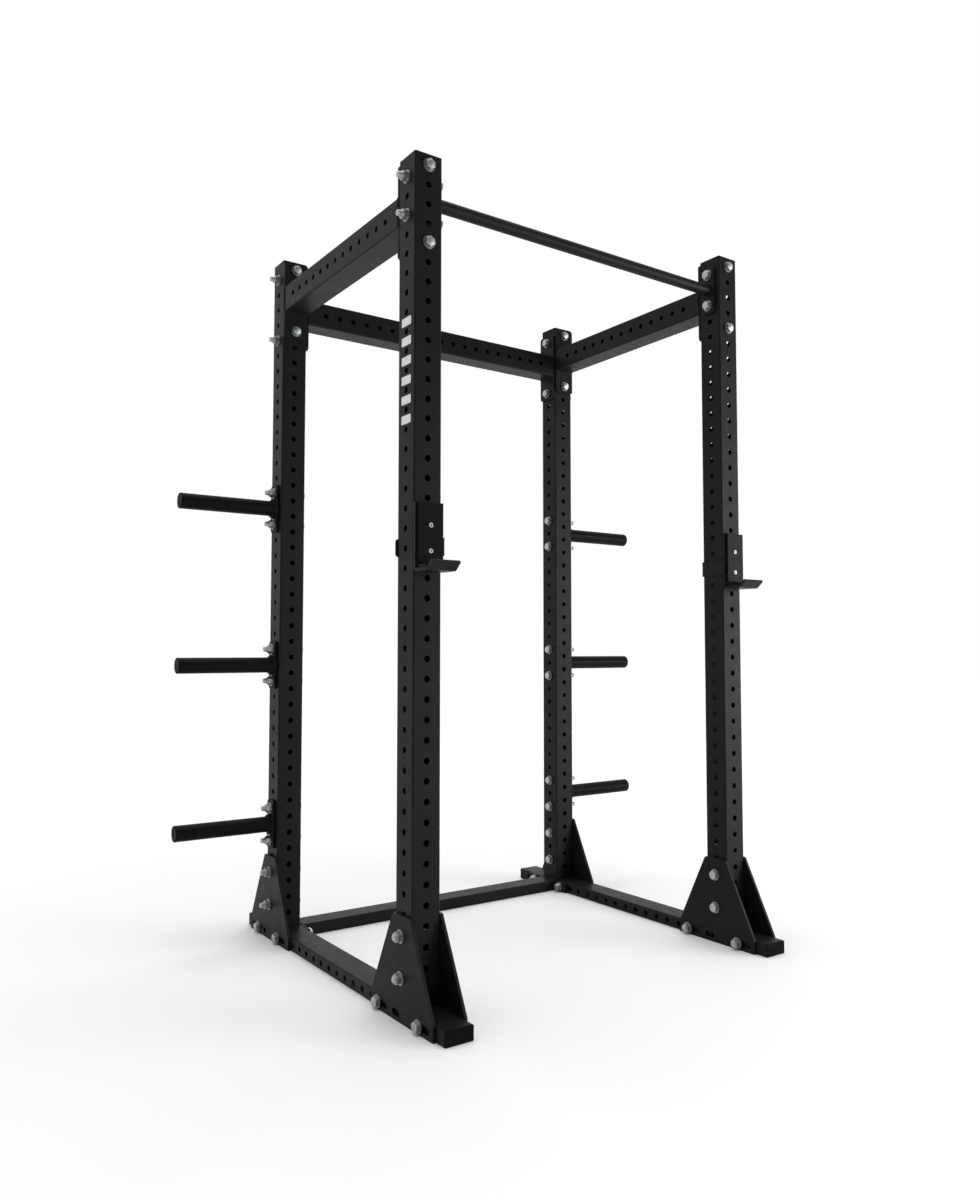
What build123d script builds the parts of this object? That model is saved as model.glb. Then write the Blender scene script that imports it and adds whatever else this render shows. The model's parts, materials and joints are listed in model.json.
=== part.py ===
from build123d import *
from math import cos, radians, sin, tan
import os

# A four-post power cage: perforated square uprights on two base rails, held together by bolted
# crossmembers, with a pull-up bar, six plate storage horns and two swinging J-cups.
# Millimetres. Origin on the floor, midway between the four uprights. +Z is up, +Y is the rear and
# +X is the right-hand side for someone who stands in front of the cage and faces it.

# ---------------------------------------------------------------- driving dimensions
tube_size = 80.0            # square section of the uprights and the top crossmembers
tube_wall = 3.0
tube_corner = 4.0           # outer corner radius of every box tube
rail_height = 38.0          # the base tubes are tube_size wide and this high
cage_height = 2162.0
width_centres = 1120.0      # between the uprights' centre lines, left to right
depth_centres = 830.0       # between the uprights' centre lines, front to rear
hole_pitch = 50.0
hole_radius = 8.5           # clearance for the 16 mm bolts
front_row_drop = 30.0       # top of the cage to the first hole of the front and rear faces
side_row_drop = 55.0        # the same for the side faces, half a pitch lower
front_row_holes = 42
side_row_holes = 41
plate_thickness = 8.0       # every bolted steel plate
rail_length = 1200.0

# ---------------------------------------------------------------- derived places
half_tube = tube_size / 2
post_x = width_centres / 2
post_y = depth_centres / 2
inner_x = post_x - half_tube        # faces of the uprights that look into the cage
outer_x = post_x + half_tube
inner_y = post_y - half_tube
outer_y = post_y + half_tube
rail_axis_z = rail_height / 2
drill_through = tube_size + 2        # length of a cutter that clears both walls of a tube

# ---------------------------------------------------------------- plastic caps
cap_flange = 3.0
cap_plug = 12.0
cap_gap = 0.3               # between a plug and the wall of its tube
cap_edge = 1.0
rail_cap_flange = 4.0

# ---------------------------------------------------------------- crossmembers and pull-up bar
end_plate_height = 250.0
plate_corner = 10.0
top_bolt_holes = (0, 4)     # hole numbers, counted from the top, that a crossmember bolts to
side_member_holes = 6       # holes each side of the middle
rear_member_holes = 9
bar_diameter = 34.0
bar_wall = 3.5
bar_hole = 1                # side hole number at the height of the pull-up bar
small_plate = (50.0, 150.0) # width and height of the pull-up and horn plates

# ---------------------------------------------------------------- plate storage horns
horn_holes = {"upper": 15, "middle": 25, "lower": 35}
horn_reach = 310.0          # from the upright's face to the end of the horn
horn_diameter = 48.3
horn_wall = 4.0
collar_diameter = 60.0
collar_length = 14.0
collar_chamfer = 5.0
horn_cap_flange = 4.0
horn_cap_edge = 1.5

# ---------------------------------------------------------------- gussets and base crossmember
gusset_base = 300.0
gusset_top = 82.0
gusset_rise = 50.0          # above the upper gusset bolt
gusset_bolt_holes = (38, 40)
gusset_corner = 7.0
gusset_foot_corner = 1.0
front_rail_bolts = (-300.0, -500.0)
rear_rail_bolts = (350.0, 500.0)
front_slots = ((-300.0, -340.0), (-382.0, -400.0), (-500.0, -540.0))
rear_slots = ((300.0, 350.0), (446.0, 450.0), (500.0, 544.0))
base_plate_length = 220.0   # end plates of the base crossmember

# ---------------------------------------------------------------- fasteners, M16
shank_diameter = 16.0
bolt_length = 120.0         # under the head
hex_across_flats = 24.0
head_height = 10.0
nut_height = 12.0           # of its hexagon
nut_collar_height = 4.0     # of the round collar that holds the locking ring
nut_collar_diameter = 21.0
nut_bore = 16.4
washer_diameter = 34.0
washer_thickness = 3.0
hex_edge = 1.2              # how far the head's and nut's corners are turned down
hex_margin = 0.1            # of the turning blank beyond the hexagon's corners

# ---------------------------------------------------------------- J-cups
cup_hole = 18               # front hole number that takes the locking pin
cup_gap = 0.5               # between the cup's steel and the upright's sides
cup_face_gap = 0.5          # between the cup's back plate and the upright's front face
cup_above_pin = 37.0
shelf_below_pin = 136.0     # underside of the shelf
shelf_depth = 68.0          # upright's face to the bend of the lip
lip_length = 30.0
lip_angle = 42.0            # degrees up from the shelf
inner_bend = 3.0
outer_bend = 10.0
cup_edge = 1.0              # rounding of the bracket's top edge
lip_edge = 2.0
liner_width = 72.0
liner_thickness = 9.0
back_liner_height = 152.0
seat_liner_thickness = 10.0
seat_liner_depth = 44.0
seat_liner_gap = 3.0        # behind the seat liner, clear of the bend
liner_edge = 1.0
screws_below_pin = (20.0, 84.0)
screw_diameter = 8.0
screw_head_diameter = 12.0
screw_head_height = 3.0
screw_clearance = 0.2
socket_across_flats = 5.0
socket_depth = 2.0
pin_diameter = 16.0
pin_reach = 45.0            # from the upright's face to the pin's inner end
pin_chamfer = 2.0
band_thickness = 4.0
band_height = 46.0
band_below_pin = 70.5       # middle of the band
band_overhang = 4.0         # past the outer side of the upright
band_corner = 8.0
band_notch = 6.0            # bend reliefs above and below the band
notch_depth = 3 * plate_thickness

SIDES = {"left": -1, "right": 1}
ENDS = {"front": -1, "rear": 1}

# ---------------------------------------------------------------- hole heights


def front_hole_z(number):
    """Height of a hole in the front and rear faces of an upright, counted from the top."""
    return cage_height - front_row_drop - number * hole_pitch


def side_hole_z(number):
    """Height of a hole in the side faces of an upright, counted from the top."""
    return cage_height - side_row_drop - number * hole_pitch


# ---------------------------------------------------------------- shared shapes


def box_tube(width, height, length, axis):
    """A hollow rounded box section, centred on the origin, with its length along the axis."""
    inner_corner = tube_corner - tube_wall
    profile = RectangleRounded(width, height, tube_corner)
    profile -= RectangleRounded(width - 2 * tube_wall, height - 2 * tube_wall, inner_corner)
    tube = extrude(profile, length / 2, both=True)
    turns = {"X": Rot(0, 90, 0) * Rot(0, 0, 90), "Y": Rot(90, 0, 0), "Z": Rot(0, 0, 0)}
    return turns[axis] * tube


def drill(axis, length, places, radius=hole_radius):
    """Round cutters with their length along X or Y, one at each place."""
    turn = Rot(0, 90, 0) if axis == "X" else Rot(90, 0, 0)
    return [Pos(*place) * turn * Cylinder(radius, length) for place in places]


def flat_plate(width, height, corner, holes_v):
    """A steel plate that stands up in the XZ plane, with a row of bolt holes up its middle."""
    profile = RectangleRounded(width, height, corner)
    for v in holes_v:
        profile -= Pos(0, v) * Circle(hole_radius)
    return Plane.XZ * extrude(profile, plate_thickness / 2, both=True)


def side_plate(profile):
    """A steel plate in the YZ plane, from a profile drawn in (Y, Z)."""
    return Plane.YZ * extrude(profile, plate_thickness / 2, both=True)


def plug_cap(width, height, flange, wall, corner):
    """A plastic end cap: a flange as large as its box tube above a plug that fits inside it."""
    top = extrude(RectangleRounded(width, height, corner), flange)
    top = fillet(top.edges().group_by(Axis.Z)[-1], cap_edge)
    inset = 2 * (wall + cap_gap)
    plug = RectangleRounded(width - inset, height - inset, corner - wall)
    return top + extrude(plug, -cap_plug)


# ---------------------------------------------------------------- uprights


def upright():
    """One perforated upright, standing on its base rail."""
    bottom = rail_height
    top = cage_height - cap_flange
    tube = Pos(0, 0, (bottom + top) / 2) * box_tube(tube_size, tube_size, top - bottom, "Z")
    front_row = [(0, 0, front_hole_z(n)) for n in range(front_row_holes)]
    side_row = [(0, 0, side_hole_z(n)) for n in range(side_row_holes)]
    return tube - drill("Y", drill_through, front_row) - drill("X", drill_through, side_row)


def upright_cap():
    cap = plug_cap(tube_size, tube_size, cap_flange, tube_wall, tube_corner)
    return Pos(0, 0, cage_height - cap_flange) * cap


# ---------------------------------------------------------------- crossmembers and pull-up bar


def middle_of(hole_z, numbers):
    return (hole_z(numbers[0]) + hole_z(numbers[1])) / 2


def side_crossmember():
    """A front-to-rear top tube, welded between two tall plates."""
    z = middle_of(front_hole_z, top_bolt_holes)
    reach = (front_hole_z(top_bolt_holes[0]) - front_hole_z(top_bolt_holes[1])) / 2
    length = 2 * (inner_y - plate_thickness)
    numbers = range(-side_member_holes, side_member_holes + 1)
    tube = box_tube(tube_size, tube_size, length, "Y")
    tube -= drill("X", drill_through, [(0, n * hole_pitch, 0) for n in numbers])
    plate = flat_plate(tube_size, end_plate_height, plate_corner, (-reach, reach))
    plate_y = inner_y - plate_thickness / 2
    pieces = [tube, Pos(0, -plate_y, 0) * plate, Pos(0, plate_y, 0) * plate]
    return [Pos(0, 0, z) * piece for piece in pieces]


def rear_crossmember():
    """The left-to-right top tube at the rear, welded between two tall plates."""
    z = middle_of(side_hole_z, top_bolt_holes)
    reach = (side_hole_z(top_bolt_holes[0]) - side_hole_z(top_bolt_holes[1])) / 2
    length = 2 * (inner_x - plate_thickness)
    numbers = range(-rear_member_holes, rear_member_holes + 1)
    tube = box_tube(tube_size, tube_size, length, "X")
    tube -= drill("Y", drill_through, [(n * hole_pitch, 0, 0) for n in numbers])
    plate = Rot(0, 0, 90) * flat_plate(tube_size, end_plate_height, plate_corner, (-reach, reach))
    plate_x = inner_x - plate_thickness / 2
    pieces = [tube, Pos(-plate_x, 0, 0) * plate, Pos(plate_x, 0, 0) * plate]
    return [Pos(0, post_y, z) * piece for piece in pieces]


def pull_up_bar():
    """A round bar between the front uprights, welded between two small plates."""
    z = side_hole_z(bar_hole)
    length = 2 * (inner_x - plate_thickness)
    bar = Cylinder(bar_diameter / 2, length) - Cylinder(bar_diameter / 2 - bar_wall, length)
    plate = Rot(0, 0, 90) * flat_plate(*small_plate, plate_corner, (-hole_pitch, hole_pitch))
    plate_x = inner_x - plate_thickness / 2
    pieces = [Rot(0, 90, 0) * bar, Pos(-plate_x, 0, 0) * plate, Pos(plate_x, 0, 0) * plate]
    return [Pos(0, -post_y, z) * piece for piece in pieces]


# ---------------------------------------------------------------- base


def base_rail():
    """A base tube along one side, drilled across at the same pitch as the uprights."""
    last = round(rail_length / 2 / hole_pitch) - 1
    places = [(0, n * hole_pitch, 0) for n in range(-last, last + 1)]
    tube = box_tube(tube_size, rail_height, rail_length, "Y")
    tube -= drill("X", drill_through, places)
    return Pos(0, 0, rail_axis_z) * tube


def rail_cap(end):
    """The plastic cap in one end of a base rail; its flange faces away from the cage."""
    cap = plug_cap(tube_size, rail_height, rail_cap_flange, tube_wall, tube_corner)
    facing = Rot(90, 0, 0) if end < 0 else Rot(-90, 0, 0)
    return Pos(0, end * rail_length / 2, rail_axis_z) * facing * cap


def slot_hole(start, finish, post):
    """A slot along a gusset's foot that reaches from one rail hole towards the next."""
    middle = (start + finish) / 2 - post
    return Pos(middle, rail_axis_z) * SlotCenterToCenter(abs(finish - start), 2 * hole_radius)


def gusset(end, slots):
    """A tapered plate that ties an upright to its rail, in the plane of the rail's side."""
    post = end * post_y
    top = side_hole_z(gusset_bolt_holes[0]) + gusset_rise
    outline = FilletPolyline(
        (-gusset_base / 2, 0), (gusset_base / 2, 0), (gusset_base / 2, rail_height),
        (gusset_top / 2, top), (-gusset_top / 2, top), (-gusset_base / 2, rail_height),
        radius=2 * [gusset_foot_corner] + 4 * [gusset_corner], close=True)
    profile = make_face(outline)
    for number in gusset_bolt_holes:
        profile -= Pos(0, side_hole_z(number)) * Circle(hole_radius)
    for start, finish in slots:
        profile -= slot_hole(start, finish, post)
    return Pos(0, post, 0) * side_plate(profile)


def base_crossmember():
    """The rear base tube, welded between two long plates that bolt to the rails."""
    length = 2 * (inner_x - plate_thickness)
    tube = Pos(0, post_y, 0) * box_tube(tube_size, rail_height, length, "X")
    middle = sum(rear_rail_bolts) / 2
    profile = RectangleRounded(base_plate_length, rail_height, tube_corner)
    for y in rear_rail_bolts:
        profile -= Pos(y - middle, 0) * Circle(hole_radius)
    plate = Pos(0, middle, 0) * side_plate(profile)
    plate_x = inner_x - plate_thickness / 2
    pieces = [tube, Pos(-plate_x, 0, 0) * plate, Pos(plate_x, 0, 0) * plate]
    return [Pos(0, 0, rail_axis_z) * piece for piece in pieces]


# ---------------------------------------------------------------- plate storage horns


def horn(side, number):
    """A storage horn: its base plate, and the tube with the collar it is welded in."""
    z = side_hole_z(number)
    plate = Rot(0, 0, 90) * flat_plate(*small_plate, plate_corner, (-hole_pitch, hole_pitch))
    plate = Pos(side * (outer_x + plate_thickness / 2), post_y, z) * plate
    radius = horn_diameter / 2
    length = horn_reach - plate_thickness - horn_cap_flange
    tube = extrude(Circle(radius), length)
    collar = extrude(Circle(collar_diameter / 2), collar_length)
    collar = chamfer(collar.edges().group_by(Axis.Z)[-1], collar_chamfer)
    tube = tube + collar - extrude(Circle(radius - horn_wall), length)
    tube = Pos(side * (outer_x + plate_thickness), post_y, z) * Rot(0, side * 90, 0) * tube
    return [plate, tube]


def horn_cap(side, number):
    """The plastic plug in the end of a horn, with a domed flange as wide as the tube."""
    flange = extrude(Circle(horn_diameter / 2), horn_cap_flange)
    flange = fillet(flange.edges().group_by(Axis.Z)[-1], horn_cap_edge)
    cap = flange + extrude(Circle(horn_diameter / 2 - horn_wall - cap_gap), -cap_plug)
    x = side * (outer_x + horn_reach - horn_cap_flange)
    return Pos(x, post_y, side_hole_z(number)) * Rot(0, side * 90, 0) * cap


# ---------------------------------------------------------------- fasteners


def hexagon(across_flats, thickness):
    """A hexagonal prism, from z = 0 up, with its corners turned down at both ends."""
    corner_radius = across_flats / 2 / cos(radians(30))
    prism = extrude(RegularPolygon(corner_radius, 6), thickness)
    blank = Cylinder(corner_radius + hex_margin, thickness)
    blank = chamfer(blank.edges().filter_by(GeomType.CIRCLE), hex_edge)
    return prism & Pos(0, 0, thickness / 2) * blank


def bolt():
    """A hexagon bolt along +Z; z = 0 is the face of the plate under its head washer."""
    head = Pos(0, 0, -washer_thickness - head_height) * hexagon(hex_across_flats, head_height)
    shank = extrude(Circle(shank_diameter / 2), bolt_length)
    shank = chamfer(shank.edges().group_by(Axis.Z)[-1], hex_edge)
    return head + Pos(0, 0, -washer_thickness) * shank


def nut(grip):
    """A locking nut at the far end of the grip, its round collar facing outwards."""
    collar = Pos(0, 0, nut_height) * extrude(Circle(nut_collar_diameter / 2), nut_collar_height)
    collar = chamfer(collar.edges().group_by(Axis.Z)[-1], hex_edge)
    blank = hexagon(hex_across_flats, nut_height) + collar
    blank -= extrude(Circle(nut_bore / 2), nut_height + nut_collar_height)
    return Pos(0, 0, grip + washer_thickness) * blank


def washer(z):
    ring = Circle(washer_diameter / 2) - Circle(hole_radius)
    return Pos(0, 0, z) * extrude(ring, washer_thickness)


def fastener_set(places):
    """Bolts, nuts and washers for a list of (head point, direction, grip) places."""
    bolts, nuts, washers = [], [], []
    for point, direction, grip in places:
        place = Location(Plane(origin=point, z_dir=direction))
        bolts.append(place * bolt())
        nuts.append(place * nut(grip))
        washers.append(place * washer(-washer_thickness))
        washers.append(place * washer(grip))
    return bolts, nuts, washers


def top_fasteners():
    """Through the uprights at the pull-up bar and at all three top crossmembers."""
    places = []
    grip = tube_size + plate_thickness
    for side in SIDES.values():
        for number in (bar_hole - 1, bar_hole + 1):
            point = (side * (inner_x - plate_thickness), -post_y, side_hole_z(number))
            places.append((point, (side, 0, 0), grip))
        for number in top_bolt_holes:
            point = (side * (inner_x - plate_thickness), post_y, side_hole_z(number))
            places.append((point, (side, 0, 0), grip))
            for y in (-outer_y, inner_y - plate_thickness):
                point = (side * post_x, y, front_hole_z(number))
                places.append((point, (0, 1, 0), grip))
    return places


def horn_fasteners():
    grip = tube_size + plate_thickness
    places = []
    for side in SIDES.values():
        for number in horn_holes.values():
            for offset in (-1, 1):
                point = (side * inner_x, post_y, side_hole_z(number + offset))
                places.append((point, (side, 0, 0), grip))
    return places


def foot_fasteners():
    """Upright bolts have their heads inside the cage, and rail bolts have them outside."""
    places = []
    for side in SIDES.values():
        for end in ENDS.values():
            inner_plate = plate_thickness if end < 0 else 0
            for number in gusset_bolt_holes:
                point = (side * (inner_x - inner_plate), end * post_y, side_hole_z(number))
                places.append((point, (side, 0, 0), inner_plate + tube_size + plate_thickness))
            for y in front_rail_bolts if end < 0 else rear_rail_bolts:
                point = (side * (outer_x + plate_thickness), y, rail_axis_z)
                places.append((point, (-side, 0, 0), tube_size + 2 * plate_thickness))
    return places


# ---------------------------------------------------------------- J-cups
# Cup profiles are drawn in (forward, up), from the upright's front face and the pin's axis.


def cup_plane(side, half_width):
    """A drawing plane whose extrusions run from the right of the cup to its left."""
    origin = (side * post_x + half_width, -outer_y, front_hole_z(cup_hole))
    return Plane(origin=origin, x_dir=(0, -1, 0), z_dir=(-1, 0, 0))


def cup_bracket(side):
    """The bent steel plate: back, shelf and lip, with bend reliefs beside the band."""
    width = tube_size + 2 * cup_gap
    back = cup_face_gap
    front = back + plate_thickness
    bottom = -shelf_below_pin
    shelf_top = bottom + plate_thickness
    rise = radians(lip_angle)
    tip = (shelf_depth + lip_length * cos(rise), bottom + lip_length * sin(rise))
    tip_top = (tip[0] - plate_thickness * sin(rise), tip[1] + plate_thickness * cos(rise))
    inner_turn = shelf_depth - plate_thickness * tan(rise / 2)
    outline = FilletPolyline(
        (back, cup_above_pin), (back, bottom), (shelf_depth, bottom), tip,
        tip_top, (inner_turn, shelf_top), (front, shelf_top), (front, cup_above_pin),
        radius=[cup_edge, outer_bend, outer_bend, lip_edge, lip_edge, inner_bend, inner_bend, cup_edge],
        close=True)
    bracket = extrude(cup_plane(side, width / 2) * make_face(outline), width)
    bracket -= cup_pin(side)
    for drop in screws_below_pin:
        bracket -= cup_screw(side, drop)
    notch = Box(band_notch, notch_depth, band_notch)
    notch_x = side * post_x - side * width / 2
    for lift in (-1, 1):
        z = front_hole_z(cup_hole) - band_below_pin + lift * (band_height + band_notch) / 2
        bracket -= Pos(notch_x, -outer_y - plate_thickness / 2, z) * notch
    return bracket


def cup_band(side):
    """The bent strip beside and behind the upright that keeps the loaded cup square."""
    inside = half_tube + cup_gap
    outside = inside + band_thickness
    front = cup_face_gap + plate_thickness
    inner_rear = -tube_size - cup_gap
    outer_rear = inner_rear - band_thickness
    end = -half_tube - band_overhang
    strip = Polyline(
        (inside, front), (outside, front), (outside, outer_rear),
        (end, outer_rear), (end, inner_rear), (inside, inner_rear), close=True)
    band = extrude(make_face(strip), band_height / 2, both=True)
    free_end = band.edges().filter_by(Axis.Y).group_by(Axis.X)[0]
    band = fillet(free_end, band_corner)
    for corner, radius in (((outside, outer_rear), band_corner), ((inside, inner_rear), inner_bend)):
        bend = band.edges().filter_by(Axis.Z).sort_by_distance((*corner, 0))[0]
        band = fillet(bend, radius)
    if side > 0:
        band = mirror(band, Plane.YZ)
    z = front_hole_z(cup_hole) - band_below_pin
    return Pos(side * post_x, -outer_y, z) * mirror(band, Plane.XZ)


def cup_pin(side):
    """The locking pin, welded in the back plate, that the cup hangs and swings on."""
    length = pin_reach + cup_face_gap + plate_thickness
    pin = extrude(Circle(pin_diameter / 2), length)
    pin = chamfer(pin.edges().group_by(Axis.Z)[-1], pin_chamfer)
    front = -outer_y - cup_face_gap - plate_thickness
    return Pos(side * post_x, front, front_hole_z(cup_hole)) * Rot(-90, 0, 0) * pin


def cup_screw(side, drop):
    """A countersunk screw through the back liner, threaded into the back plate."""
    head = extrude(Circle(screw_head_diameter / 2), -screw_head_height)
    shank = extrude(Circle(screw_diameter / 2), -liner_thickness - plate_thickness)
    socket = extrude(RegularPolygon(socket_across_flats / 2, 6, major_radius=False), -socket_depth)
    front = -outer_y - cup_face_gap - plate_thickness - liner_thickness
    place = Pos(side * post_x, front, front_hole_z(cup_hole) - drop) * Rot(90, 0, 0)
    return place * (head + shank - socket)


def cup_back_liner(side):
    """The plastic facing of the back plate, bored for its two screws."""
    front = cup_face_gap + plate_thickness
    profile = Pos(front + liner_thickness / 2, cup_above_pin - back_liner_height / 2)
    profile *= Rectangle(liner_thickness, back_liner_height)
    liner = extrude(cup_plane(side, liner_width / 2) * profile, liner_width)
    liner = chamfer(liner.faces().sort_by(Axis.Y)[0].edges(), liner_edge)
    head_radius = screw_head_diameter / 2 + screw_clearance
    shank_radius = screw_diameter / 2 + screw_clearance
    face = -outer_y - front - liner_thickness
    for drop in screws_below_pin:
        z = front_hole_z(cup_hole) - drop
        head_y = face + screw_head_height / 2
        shank_y = face + liner_thickness / 2
        liner -= drill("Y", screw_head_height, [(side * post_x, head_y, z)], head_radius)
        liner -= drill("Y", liner_thickness + 1, [(side * post_x, shank_y, z)], shank_radius)
    return liner


def cup_seat_liner(side):
    """The plastic block on the shelf that the barbell rests on."""
    start = cup_face_gap + plate_thickness + seat_liner_gap
    bottom = -shelf_below_pin + plate_thickness
    middle = Pos(start + seat_liner_depth / 2, bottom + seat_liner_thickness / 2)
    profile = middle * Rectangle(seat_liner_depth, seat_liner_thickness)
    liner = extrude(cup_plane(side, liner_width / 2) * profile, liner_width)
    return chamfer(liner.faces().sort_by(Axis.Z)[-1].edges(), liner_edge)


# ---------------------------------------------------------------- assembly


def solids_of(shape):
    """Every separate solid in a shape, or in a list of shapes."""
    if isinstance(shape, (list, tuple)):
        return [solid for item in shape for solid in solids_of(item)]
    return list(shape.solids())


def build_nodes():
    """All the named nodes of the cage."""
    nodes = {}
    post, cap, rail = upright(), upright_cap(), base_rail()
    member = side_crossmember()
    for side_name, side in SIDES.items():
        for end_name, end in ENDS.items():
            place = Pos(side * post_x, end * post_y, 0)
            nodes[f"upright_{end_name}_{side_name}"] = place * post
            nodes[f"upright_cap_{end_name}_{side_name}"] = place * cap
            nodes[f"base_rail_cap_{end_name}_{side_name}"] = Pos(side * post_x, 0, 0) * rail_cap(end)
            slots = front_slots if end < 0 else rear_slots
            plate = gusset(end, slots)
            outer = Pos(side * (outer_x + plate_thickness / 2), 0, 0) * plate
            nodes[f"gusset_{end_name}_{side_name}_outer"] = outer
            if end < 0:
                inner = Pos(side * (inner_x - plate_thickness / 2), 0, 0) * plate
                nodes[f"gusset_{end_name}_{side_name}_inner"] = inner
        nodes[f"base_rail_{side_name}"] = Pos(side * post_x, 0, 0) * rail
        place = Pos(side * post_x, 0, 0)
        nodes[f"side_crossmember_{side_name}"] = [place * piece for piece in member]
        for level, number in horn_holes.items():
            nodes[f"storage_horn_{level}_{side_name}"] = horn(side, number)
            nodes[f"storage_horn_cap_{level}_{side_name}"] = horn_cap(side, number)
        nodes[f"j_cup_bracket_{side_name}"] = cup_bracket(side)
        nodes[f"j_cup_band_{side_name}"] = cup_band(side)
        nodes[f"j_cup_pin_{side_name}"] = cup_pin(side)
        nodes[f"j_cup_back_liner_{side_name}"] = cup_back_liner(side)
        nodes[f"j_cup_seat_liner_{side_name}"] = cup_seat_liner(side)
        nodes[f"j_cup_screws_{side_name}"] = [cup_screw(side, drop) for drop in screws_below_pin]
    nodes["rear_crossmember"] = rear_crossmember()
    nodes["pull_up_bar"] = pull_up_bar()
    nodes["base_crossmember"] = base_crossmember()
    groups = {"top": top_fasteners(), "horn": horn_fasteners(), "foot": foot_fasteners()}
    for group, places in groups.items():
        bolts, nuts, washers = fastener_set(places)
        nodes[f"{group}_bolts"] = bolts
        nodes[f"{group}_nuts"] = nuts
        nodes[f"{group}_washers"] = washers
    return nodes


os.makedirs("parts", exist_ok=True)
for name, shape in build_nodes().items():
    export_step(Compound(children=solids_of(shape)), f"parts/{name}.step")
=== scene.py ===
import json
from math import cos, hypot, pi, radians, sin, tau

import bpy
from mathutils import Matrix, Vector


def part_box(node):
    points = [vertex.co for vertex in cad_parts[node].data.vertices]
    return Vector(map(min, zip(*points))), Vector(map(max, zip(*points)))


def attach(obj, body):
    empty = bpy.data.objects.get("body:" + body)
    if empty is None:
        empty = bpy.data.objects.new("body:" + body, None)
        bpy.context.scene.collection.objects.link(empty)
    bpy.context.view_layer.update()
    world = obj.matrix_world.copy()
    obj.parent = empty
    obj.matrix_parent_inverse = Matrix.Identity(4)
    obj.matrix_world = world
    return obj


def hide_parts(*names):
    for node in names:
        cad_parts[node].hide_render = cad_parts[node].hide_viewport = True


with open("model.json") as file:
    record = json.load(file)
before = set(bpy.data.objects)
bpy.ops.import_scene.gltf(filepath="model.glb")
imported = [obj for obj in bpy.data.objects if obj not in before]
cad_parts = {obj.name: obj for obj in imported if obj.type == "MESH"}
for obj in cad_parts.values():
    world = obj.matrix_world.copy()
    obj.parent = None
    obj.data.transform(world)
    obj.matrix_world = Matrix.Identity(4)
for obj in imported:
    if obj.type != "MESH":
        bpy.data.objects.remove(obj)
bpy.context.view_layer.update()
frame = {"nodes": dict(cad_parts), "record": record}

# Looks for the power cage. Metres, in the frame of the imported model: the floor is z = 0, +Y is the
# rear and +X is the right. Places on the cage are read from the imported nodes; only sizes that a node's
# box doesn't show, such as the hexagons and the hole pitch, are repeated here.

# ---------------------------------------------------------------- fasteners, welds and markings
hex_across_flats = 0.024
head_height = 0.010
head_face_share = 0.98          # of the width across flats, where the head's chamfer starts
head_chamfer = 0.0013
washer_face_height = 0.0004
washer_face_radius = 0.0112
shank_radius = 0.008
thread_root_radius = 0.0071
thread_pitch = 0.002
thread_length = 0.016           # modelled length: the bolt's end and a little inside its nut
rings_per_pitch = 6
bolt_segments = 36              # a multiple of 6, so that the hexagon's corners are vertices
bolt_smoothing = radians(35)

weld_radius = 0.0026
weld_ripple = 0.0032            # length of one ripple along a bead
weld_step = 0.0008
weld_smoothing = radians(60)
corner_steps = 8                # stretches in each rounded corner of a weld's path
tube_corner = 0.004

print_first = 7                 # side holes of an upright, counted from the top, that the
print_last = 13                 # printed index blocks lie between
print_width = 0.046
print_height = 0.022
print_corner = 0.003
print_thickness = 0.0002
print_steps = 6                 # stretches in each rounded corner of a block
hole_pitch = 0.050
side_row_drop = 0.055           # top of the cage to the first side hole

# ---------------------------------------------------------------- camera
camera_place = (-1.7864, -2.4750, 0.9009)
camera_turn = radians(-35.03)   # about Z, from +Y
camera_tilt = radians(3.07)     # up from level
camera_lens = 28.61             # millimetres, on a 36 mm frame

# ---------------------------------------------------------------- finishes, light and floor
zinc_tint = (0.93, 1.0, 1.04)   # the faint blue of a passivated coat
steel_tint = (1.0, 1.0, 1.0)

surround_rear = 1.0             # brightness of the surround behind the cage, and behind the camera
surround_front = 0.12
surround_rear_from = 0.3        # how far to the rear the surround is fully bright, and how far to
surround_front_from = -0.7      # the front it is at its dimmest, as the Y of a direction

overhead_strength = 1.75
overhead_spread = radians(60)
overhead_from = (0.3, -0.5, 6.0)
softbox_place = (4.0, -3.8, 1.3)
softbox_target = (0, 0, 0.9)
softbox_size = (3.0, 2.7)
softbox_power = 175

floor_half_width = 30.0
# The floor's colour carries painted shade round the cage, lightening to white between these two
# distances.
floor_near = 1.0                # from the middle of the cage, where the floor begins to whiten
floor_far = 5.0                 # and where it is white

CAGE = "cage"
SIDES = ("left", "right")


# ---------------------------------------------------------------- node helpers


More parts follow.
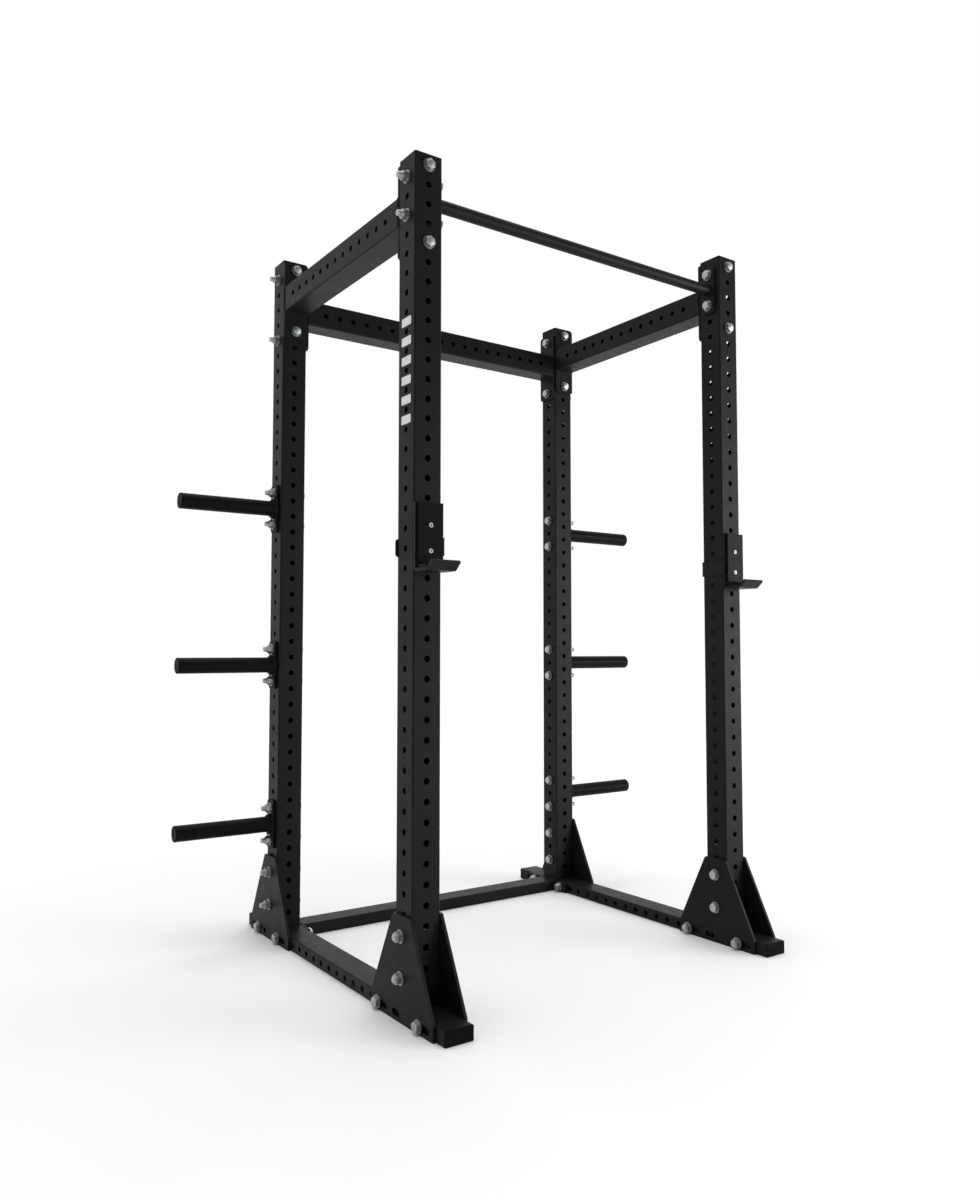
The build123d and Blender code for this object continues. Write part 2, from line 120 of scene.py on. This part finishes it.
class Recipe:
    """A material's node tree, with short ways to add the nodes that these materials use."""

    def __init__(self, name, **sockets):
        self.material = bpy.data.materials.new(name)
        self.material.use_nodes = True
        self.tree = self.material.node_tree
        self.shader = self.tree.nodes["Principled BSDF"]
        for socket, value in sockets.items():
            self.shader.inputs[socket.replace("_", " ")].default_value = value
        self.place = self.add("ShaderNodeTexCoord").outputs["Object"]

    def add(self, kind, **settings):
        node = self.tree.nodes.new(kind)
        for setting, value in settings.items():
            setattr(node, setting, value)
        return node

    def link(self, source, target):
        self.tree.links.new(source, target)

    def noise(self, size, detail=2.0, roughness=0.5, stretch=None):
        """Noise whose blobs are about size metres across, or longer along the stretched axes."""
        node = self.add("ShaderNodeTexNoise")
        node.inputs["Scale"].default_value = 1 / size
        node.inputs["Detail"].default_value = detail
        node.inputs["Roughness"].default_value = roughness
        place = self.place
        if stretch:
            mapping = self.add("ShaderNodeMapping")
            mapping.inputs["Scale"].default_value = [1 / s for s in stretch]
            self.link(self.place, mapping.inputs["Vector"])
            place = mapping.outputs["Vector"]
        self.link(place, node.inputs["Vector"])
        return node.outputs["Fac"]

    def spread(self, value, low, high, start=0.3, stop=0.7):
        """Maps a value between start and stop onto low to high."""
        node = self.add("ShaderNodeMapRange")
        node.inputs["From Min"].default_value = start
        node.inputs["From Max"].default_value = stop
        node.inputs["To Min"].default_value = low
        node.inputs["To Max"].default_value = high
        self.link(value, node.inputs["Value"])
        return node.outputs["Result"]

    def maths(self, operation, first, second):
        node = self.add("ShaderNodeMath", operation=operation)
        for value, socket in ((first, node.inputs[0]), (second, node.inputs[1])):
            if isinstance(value, (int, float)):
                socket.default_value = value
            else:
                self.link(value, socket)
        return node.outputs["Value"]

    def blend(self, factor, first, second):
        """A colour between two others; either may be a colour or another node's output."""
        node = self.add("ShaderNodeMix", data_type="RGBA")
        self.link(factor, node.inputs["Factor"])
        sockets = [s for s in node.inputs if s.type == "RGBA"]
        for value, socket in zip((first, second), sockets):
            if isinstance(value, tuple):
                socket.default_value = (*value, 1)
            else:
                self.link(value, socket)
        return [s for s in node.outputs if s.type == "RGBA"][0]

    def edges(self, radius):
        """How far a point lies on a sharp edge, 0 to 1, and the rounded normal there."""
        bevel = self.add("ShaderNodeBevel", samples=4)
        bevel.inputs["Radius"].default_value = radius
        flat = self.add("ShaderNodeNewGeometry").outputs["Normal"]
        dot = self.add("ShaderNodeVectorMath", operation="DOT_PRODUCT")
        self.link(bevel.outputs["Normal"], dot.inputs[0])
        self.link(flat, dot.inputs[1])
        return self.spread(dot.outputs["Value"], 1, 0, 0.75, 0.98), bevel.outputs["Normal"]

    def bump(self, height, distance, strength=1.0, normal=None):
        node = self.add("ShaderNodeBump")
        node.inputs["Distance"].default_value = distance
        node.inputs["Strength"].default_value = strength
        self.link(height, node.inputs["Height"])
        if normal:
            self.link(normal, node.inputs["Normal"])
        return node.outputs["Normal"]

    def finish(self, colour=None, roughness=None, normal=None):
        for value, name in ((colour, "Base Color"), (roughness, "Roughness"), (normal, "Normal")):
            if value:
                self.link(value, self.shader.inputs[name])
        return self.material


def grey(value, blue=0.0):
    return (value, value, value + blue)


# ---------------------------------------------------------------- materials


def powder_coat(name, shade, gloss=0.09):
    """Satin black powder coat: orange peel, fine grain, dusty patches, and edges lightened partly by
    faint rubbing and partly by a painted highlight.
    """
    r = Recipe(name, Specular_IOR_Level=gloss)
    patches = r.spread(r.noise(0.16, 4), 0, 1)
    grain = r.spread(r.noise(0.0009, 2), 0, 1)
    tone = r.maths("ADD", r.maths("MULTIPLY", patches, 0.6), r.maths("MULTIPLY", grain, 0.4))
    paint = r.blend(tone, grey(shade * 0.8), grey(shade * 1.25, shade * 0.03))
    edge, rounded = r.edges(0.0012)
    # Lighter patches along sharp edges: partly rubbed paint, partly a painted highlight.
    rub_and_sheen = r.maths("MULTIPLY", edge, r.spread(r.noise(0.02, 5, 0.65), 0, 0.35, 0.45, 0.7))
    colour = r.blend(rub_and_sheen, paint, grey(shade * 5))
    rough = r.maths("ADD", r.spread(r.noise(0.035, 3), 0.38, 0.46), r.maths("MULTIPLY", grain, 0.03))
    peel = r.bump(r.noise(0.0022, 1), 0.00006, 0.5, rounded)
    fine = r.bump(r.noise(0.0006, 2), 0.00003, 0.45, peel)
    return r.finish(colour, rough, fine)


def plated_steel(name, shade, tint):
    """Plated or machined steel: a tinted metal with soft clouding, fine grain and a painted highlight
    that lightens its edges.
    """
    r = Recipe(name, Metallic=1.0)

    def tone(value):
        return tuple(value * channel for channel in tint)

    clouds = r.spread(r.noise(0.006, 4, 0.6), 0, 1)
    colour = r.blend(clouds, tone(shade * 0.85), tone(shade * 1.12))
    edge, rounded = r.edges(0.0006)
    # Painted highlight: sharp edges are lightened in the colour.
    colour = r.blend(r.maths("MULTIPLY", edge, 0.4), colour, tone(shade * 1.3))
    rough = r.spread(r.noise(0.0025, 4, 0.6), 0.36, 0.52)
    fine = r.bump(r.noise(0.0005, 3), 0.00002, 0.5, rounded)
    return r.finish(colour, rough, fine)


def cap_plastic():
    """Moulded black polyethylene with a fine spark-eroded grain, and a painted highlight that lightens
    its edges.
    """
    r = Recipe("cap_plastic", Specular_IOR_Level=0.04)
    clouds = r.spread(r.noise(0.03, 3), 0, 1)
    edge, rounded = r.edges(0.0008)
    colour = r.blend(clouds, grey(0.0025), grey(0.0040))
    # Painted highlight: sharp edges are lightened in the colour.
    colour = r.blend(r.maths("MULTIPLY", edge, 0.3), colour, grey(0.05))
    rough = r.spread(r.noise(0.012, 3), 0.46, 0.60)
    grain = r.bump(r.noise(0.0004, 3, 0.7), 0.00004, 0.6, rounded)
    return r.finish(colour, rough, grain)


def liner_plastic():
    """Sheet polyethylene: slightly glossier, with fine drawn lines, light handling marks and a painted
    highlight that lightens its edges.
    """
    r = Recipe("liner_plastic", Specular_IOR_Level=0.06)
    lines = r.noise(0.0006, 3, 0.6, stretch=(12, 1, 1))
    clouds = r.spread(r.noise(0.02, 3), 0, 1)
    edge, rounded = r.edges(0.0008)
    colour = r.blend(clouds, grey(0.0020), grey(0.0032, 0.0001))
    # Painted highlight: sharp edges are lightened in the colour.
    colour = r.blend(r.maths("MULTIPLY", edge, 0.35), colour, grey(0.06))
    rough = r.spread(lines, 0.36, 0.50)
    fine = r.bump(lines, 0.00003, 0.5, rounded)
    return r.finish(colour, rough, fine)


def white_print():
    """Flat white print on the powder coat, with the coat's orange peel showing through."""
    r = Recipe("white_print", Specular_IOR_Level=0.3)
    clouds = r.spread(r.noise(0.01, 4, 0.6), 0, 1)
    colour = r.blend(clouds, grey(0.60), grey(0.72))
    rough = r.spread(r.noise(0.004, 3), 0.5, 0.65)
    peel = r.bump(r.noise(0.0022, 1), 0.00006, 0.4)
    return r.finish(colour, rough, peel)


def floor_paint():
    """Pale studio floor with painted shade: darker round the cage and a little whiter away from it, so
    that it meets the backdrop.
    """
    r = Recipe("studio_floor", Specular_IOR_Level=0.5)
    clouds = r.spread(r.noise(0.9, 3), 0, 1)
    near = r.blend(clouds, grey(0.765), grey(0.775))
    away = r.add("ShaderNodeVectorMath", operation="LENGTH")
    r.link(r.place, away.inputs[0])
    whitening = r.spread(away.outputs["Value"], 0, 1, floor_near, floor_far)
    # Painted shade: the floor's colour is darker near the cage and lightens to white further out.
    colour = r.blend(whitening, near, grey(0.86))
    rough = r.spread(r.noise(0.3, 2), 0.75, 0.85)
    return r.finish(colour, rough)


def make_finishes():
    """Every material of the cage, by name: one for each slot, and two variants."""
    return {
        "frame_powder_coat": powder_coat("frame_powder_coat", 0.0085),
        "cup_powder_coat": powder_coat("cup_powder_coat", 0.0095),
        "zinc_fasteners": plated_steel("zinc_fasteners", 0.44, zinc_tint),
        "screw_steel": plated_steel("screw_steel", 0.30, steel_tint),
        "cap_plastic": cap_plastic(),
        "liner_plastic": liner_plastic(),
        "white_print": white_print(),
        "washer_zinc": plated_steel("washer_zinc", 0.27, zinc_tint),
        "horn_coat": powder_coat("horn_coat", 0.0040, 0.055),
    }


def finish_name(part):
    """A node's finish: its slot's, but duller on washers and darker on the storage horns."""
    if part["node"].endswith("_washers"):
        return "washer_zinc"
    if part["node"].startswith("storage_horn_") and part["material_slot"] == "frame_powder_coat":
        return "horn_coat"
    return part["material_slot"]


# ---------------------------------------------------------------- mesh helpers


def new_piece(name, verts, faces, material, smooth_above=None, body=CAGE):
    """A piece from plain geometry, shaded smooth across edges flatter than smooth_above."""
    mesh = bpy.data.meshes.new(name)
    mesh.from_pydata([tuple(v) for v in verts], [], faces)
    mesh.update()
    if smooth_above:
        mesh.shade_smooth()
        mesh.set_sharp_from_angle(angle=smooth_above)
    mesh.materials.append(material)
    piece = bpy.data.objects.new(name, mesh)
    bpy.context.scene.collection.objects.link(piece)
    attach(piece, body)
    return piece


def islands(node):
    """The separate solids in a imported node, each as a list of its points."""
    mesh = frame["nodes"][node].data
    leader = list(range(len(mesh.vertices)))

    def find(i):
        while leader[i] != i:
            leader[i] = leader[leader[i]]
            i = leader[i]
        return i

    first_at = {}
    for vertex in mesh.vertices:
        key = tuple(round(c, 6) for c in vertex.co)
        leader[find(vertex.index)] = find(first_at.setdefault(key, vertex.index))
    for edge in mesh.edges:
        leader[find(edge.vertices[0])] = find(edge.vertices[1])
    groups = {}
    for vertex in mesh.vertices:
        groups.setdefault(find(vertex.index), []).append(vertex.co.copy())
    return list(groups.values())


def box_of(points):
    low = Vector([min(p[i] for p in points) for i in range(3)])
    high = Vector([max(p[i] for p in points) for i in range(3)])
    return low, high


def long_axis(low, high):
    size = high - low
    return max(range(3), key=lambda i: size[i])


def turned(rings, segments):
    """A closed turned shape: each ring is (z, radius at an angle); both ends are flat faces."""
    verts, faces = [], []
    for z, radius in rings:
        for i in range(segments):
            angle = tau * i / segments
            r = radius(angle) if callable(radius) else radius
            verts.append(Vector((r * cos(angle), r * sin(angle), z)))
    for k in range(len(rings) - 1):
        for i in range(segments):
            j = (i + 1) % segments
            a, b = k * segments, (k + 1) * segments
            faces.append((a + i, a + j, b + j, b + i))
    last = (len(rings) - 1) * segments
    faces.append(tuple(reversed(range(segments))))
    faces.append(tuple(last + i for i in range(segments)))
    return verts, faces


def gathered(parts):
    """Joins (verts, faces) parts into one pair of lists."""
    verts, faces = [], []
    for part_verts, part_faces in parts:
        start = len(verts)
        verts.extend(part_verts)
        faces.extend(tuple(start + i for i in face) for face in part_faces)
    return verts, faces


# ---------------------------------------------------------------- bolts


def hexagon_radius(angle, limit):
    """Distance from a hexagon's centre to its side at an angle, cut off at a limit."""
    within = (angle + pi / 6) % (pi / 3) - pi / 6
    return min(hex_across_flats / 2 / cos(within), limit)


def thread_radius(z, angle):
    """A vee thread's radius at a height and an angle."""
    phase = (z / thread_pitch - angle / tau) % 1
    height = 1 - abs(2 * phase - 1)
    return thread_root_radius + (shank_radius - thread_root_radius) * height


def bolt_shape(length):
    """A hexagon bolt along +Z, with its head's face at z = 0 and a threaded end."""
    corner = hex_across_flats / 2 / cos(pi / 6)
    top_radius = hex_across_flats / 2 * head_face_share
    rings = [(0, top_radius)]
    for step in (0.35, 0.7, 1.0):
        limit = top_radius + (corner - top_radius) * step
        rings.append((head_chamfer * step, lambda a, limit=limit: hexagon_radius(a, limit)))
    side_end = head_height - washer_face_height
    rings.append((side_end, lambda a: hexagon_radius(a, corner)))
    rings.append((side_end, washer_face_radius))
    rings.append((head_height, washer_face_radius))
    rings.append((head_height, shank_radius))
    thread_start = length - thread_length
    rings.append((thread_start, shank_radius))
    count = round(thread_length / thread_pitch * rings_per_pitch)
    end_chamfer = shank_radius - thread_root_radius
    for k in range(1, count + 1):
        z = thread_start + thread_length * k / count
        limit = shank_radius - max(0, z - (length - end_chamfer))
        rings.append((z, lambda a, z=z, limit=limit: min(thread_radius(z, a), limit)))
    return turned(rings, bolt_segments)


def bolt_place(points):
    """Where a packed bolt lies: its head's centre, its direction and its length."""
    low, high = box_of(points)
    axis = long_axis(low, high)
    across = [i for i in range(3) if i != axis]
    centre = (low + high) / 2

    def reach(end):
        near = [p for p in points if abs(p[axis] - end) < head_height / 2]
        return max(hypot(*(p[i] - centre[i] for i in across)) for p in near)

    head_low = reach(low[axis]) > reach(high[axis])
    direction = Vector((0, 0, 0))
    direction[axis] = 1 if head_low else -1
    head = centre.copy()
    head[axis] = low[axis] if head_low else high[axis]
    return head, direction, (high - low)[axis]


def make_bolts(node, material):
    parts = []
    for points in islands(node):
        head, direction, length = bolt_place(points)
        verts, faces = bolt_shape(length)
        place = Matrix.Translation(head) @ direction.to_track_quat("Z", "Y").to_matrix().to_4x4()
        parts.append(([place @ v for v in verts], faces))
    verts, faces = gathered(parts)
    piece = new_piece(f"{node}_threaded", verts, faces, material, bolt_smoothing)
    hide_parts(node)


# ---------------------------------------------------------------- welds


def rounded_loop(centre, axis, half_a, half_b, corner):
    """Evenly spaced points round a rounded rectangle that faces along an axis."""
    a, b = [i for i in range(3) if i != axis]
    runs = []
    for turn in range(4):
        spin = pi / 2 * turn
        sign_a = 1 if turn in (0, 3) else -1
        sign_b = 1 if turn in (0, 1) else -1
        corner_a = sign_a * (half_a - corner)
        corner_b = sign_b * (half_b - corner)
        for k in range(corner_steps + 1):
            angle = spin + pi / 2 * k / corner_steps
            runs.append((corner_a + corner * cos(angle), corner_b + corner * sin(angle)))
    loop = []
    for i, start in enumerate(runs):
        end = runs[(i + 1) % len(runs)]
        gap = hypot(end[0] - start[0], end[1] - start[1])
        count = max(1, round(gap / weld_step))
        for k in range(count):
            point = Vector(centre)
            point[a] += start[0] + (end[0] - start[0]) * k / count
            point[b] += start[1] + (end[1] - start[1]) * k / count
            loop.append(point)
    return loop


def bead(loop, axis, segments=8):
    """A closed weld bead along a loop, swollen once in every ripple."""
    verts, faces = [], []
    along = Vector((0, 0, 0))
    along[axis] = 1
    travelled = 0.0
    count = len(loop)
    for i, point in enumerate(loop):
        ahead = loop[(i + 1) % count] - loop[i - 1]
        outward = ahead.normalized().cross(along)
        swell = abs(sin(pi * travelled / weld_ripple))
        radius = weld_radius * (0.82 + 0.18 * swell)
        for k in range(segments):
            angle = tau * k / segments
            verts.append(point + radius * (cos(angle) * outward + sin(angle) * along))
        travelled += (loop[(i + 1) % count] - point).length
    for i in range(count):
        for k in range(segments):
            a, b = i * segments, (i + 1) % count * segments
            m = (k + 1) % segments
            faces.append((a + k, a + m, b + m, b + k))
    return verts, faces


def tube_welds(node, corner, material):
    """Beads round both ends of the tube in a welded member, ground flush where it stands."""
    tube = max(islands(node), key=lambda points: max(box_of(points)[1] - box_of(points)[0]))
    low, high = box_of(tube)
    axis = long_axis(low, high)
    a, b = [i for i in range(3) if i != axis]
    half_a, half_b = (high - low)[a] / 2, (high - low)[b] / 2
    centre = (low + high) / 2
    beads = []
    for end in (low[axis], high[axis]):
        place = centre.copy()
        place[axis] = end
        radius = corner or half_a
        beads.append(bead(rounded_loop(place, axis, half_a, half_b, radius), axis))
    verts, faces = gathered(beads)
    on_floor = [(v.x, v.y, max(v.z, 0)) for v in verts]
    new_piece(f"{node}_welds", on_floor, faces, material, weld_smoothing)


def horn_weld(node, side, material):
    """A bead where a storage horn's collar meets its plate."""
    tube = max(islands(node), key=lambda points: max(box_of(points)[1] - box_of(points)[0]))
    low, high = box_of(tube)
    centre = (low + high) / 2
    centre.x = high.x if side == "left" else low.x
    half = (high.z - low.z) / 2
    verts, faces = bead(rounded_loop(centre, 0, half, half, half), 0)
    new_piece(f"{node}_weld", verts, faces, material, weld_smoothing)


# ---------------------------------------------------------------- printed index blocks


def rounded_block(centre, half_y, half_z, corner, thickness):
    """A thin rounded plate in the YZ plane; its back is at the centre's x and it faces -X."""
    outline = []
    for turn in range(4):
        sign_y = 1 if turn in (0, 3) else -1
        sign_z = 1 if turn in (0, 1) else -1
        for k in range(print_steps + 1):
            angle = pi / 2 * (turn + k / print_steps)
            y = sign_y * (half_y - corner) + corner * cos(angle)
            z = sign_z * (half_z - corner) + corner * sin(angle)
            outline.append(Vector((0, y, z)))
    count = len(outline)
    verts = [centre + p for p in outline]
    verts += [centre + p - Vector((thickness, 0, 0)) for p in outline]
    faces = [(i, (i + 1) % count, count + (i + 1) % count, count + i) for i in range(count)]
    faces.append(tuple(reversed(range(count))))
    faces.append(tuple(range(count, 2 * count)))
    return verts, faces


def index_blocks(material):
    """Plain white blocks between the side holes of the front left upright's outer face."""
    low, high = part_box("upright_front_left")
    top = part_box("upright_cap_front_left")[1][2]
    blocks = []
    for number in range(print_first, print_last):
        z = top - side_row_drop - (number + 0.5) * hole_pitch
        centre = Vector((low[0], (low[1] + high[1]) / 2, z))
        size = (print_width / 2, print_height / 2, print_corner, print_thickness)
        blocks.append(rounded_block(centre, *size))
    verts, faces = gathered(blocks)
    new_piece("index_blocks", verts, faces, material)


# ---------------------------------------------------------------- stage


def make_floor():
    half = floor_half_width
    corners = [(-half, -half, 0), (half, -half, 0), (half, half, 0), (-half, half, 0)]
    mesh = bpy.data.meshes.new("studio_floor")
    mesh.from_pydata(corners, [], [(0, 1, 2, 3)])
    mesh.materials.append(floor_paint())
    floor = bpy.data.objects.new("studio_floor", mesh)
    bpy.context.scene.collection.objects.link(floor)


def make_camera():
    data = bpy.data.cameras.new("photo_camera")
    data.lens = camera_lens
    data.sensor_width = 36
    camera = bpy.data.objects.new("photo_camera", data)
    camera.location = camera_place
    camera.rotation_euler = (pi / 2 + camera_tilt, 0, camera_turn)
    bpy.context.scene.collection.objects.link(camera)
    bpy.context.scene.camera = camera


def softbox(name, place, target, size, power):
    data = bpy.data.lights.new(name, "AREA")
    data.shape = "RECTANGLE"
    data.size, data.size_y = size
    data.energy = power
    light = bpy.data.objects.new(name, data)
    light.location = place
    towards = Vector(target) - Vector(place)
    light.rotation_euler = towards.to_track_quat("-Z", "Y").to_euler()
    bpy.context.scene.collection.objects.link(light)


def make_world():
    """A plain white backdrop; the surround that lights the cage is dimmer behind the camera."""
    world = bpy.data.worlds.new("studio")
    world.use_nodes = True
    nodes, links = world.node_tree.nodes, world.node_tree.links
    surround = nodes["Background"]
    backdrop = nodes.new("ShaderNodeBackground")
    backdrop.inputs["Color"].default_value = (1, 1, 1, 1)
    direction = nodes.new("ShaderNodeSeparateXYZ")
    links.new(nodes.new("ShaderNodeTexCoord").outputs["Generated"], direction.inputs["Vector"])
    dimming = nodes.new("ShaderNodeMapRange")
    dimming.inputs["From Min"].default_value = surround_front_from
    dimming.inputs["From Max"].default_value = surround_rear_from
    dimming.inputs["To Min"].default_value = surround_front
    dimming.inputs["To Max"].default_value = surround_rear
    links.new(direction.outputs["Y"], dimming.inputs["Value"])
    links.new(dimming.outputs["Result"], surround.inputs["Strength"])
    surround.inputs["Color"].default_value = (1, 1, 1, 1)
    mix = nodes.new("ShaderNodeMixShader")
    links.new(nodes.new("ShaderNodeLightPath").outputs["Is Camera Ray"], mix.inputs["Fac"])
    links.new(surround.outputs["Background"], mix.inputs[1])
    links.new(backdrop.outputs["Background"], mix.inputs[2])
    links.new(mix.outputs["Shader"], nodes["World Output"].inputs["Surface"])
    bpy.context.scene.world = world


def overhead_light(strength, spread, place):
    """Soft even light from far overhead, the same over the whole floor."""
    data = bpy.data.lights.new("overhead", "SUN")
    data.energy = strength
    data.angle = spread
    light = bpy.data.objects.new("overhead", data)
    light.rotation_euler = (-Vector(place)).to_track_quat("-Z", "Y").to_euler()
    bpy.context.scene.collection.objects.link(light)


def make_light():
    """Soft light from overhead, and a softbox low on the right that the front faces reflect."""
    make_world()
    overhead_light(overhead_strength, overhead_spread, overhead_from)
    softbox("right_front", softbox_place, softbox_target, softbox_size, softbox_power)


# ---------------------------------------------------------------- the model

make_camera()
bpy.context.scene.view_settings.view_transform = "Standard"

finishes = make_finishes()
frame_coat = finishes["frame_powder_coat"]
for part in frame["record"]["subparts"]:
    data = frame["nodes"][part["node"]].data
    data.materials.clear()
    data.materials.append(finishes[finish_name(part)])

for group in ("top", "horn", "foot"):
    make_bolts(f"{group}_bolts", finishes["zinc_fasteners"])

tube_welds("rear_crossmember", tube_corner, frame_coat)
tube_welds("base_crossmember", tube_corner, frame_coat)
tube_welds("pull_up_bar", None, frame_coat)
for side in SIDES:
    tube_welds(f"side_crossmember_{side}", tube_corner, frame_coat)
    for level in ("upper", "middle", "lower"):
        horn_weld(f"storage_horn_{level}_{side}", side, frame_coat)

index_blocks(finishes["white_print"])

make_floor()
make_light()
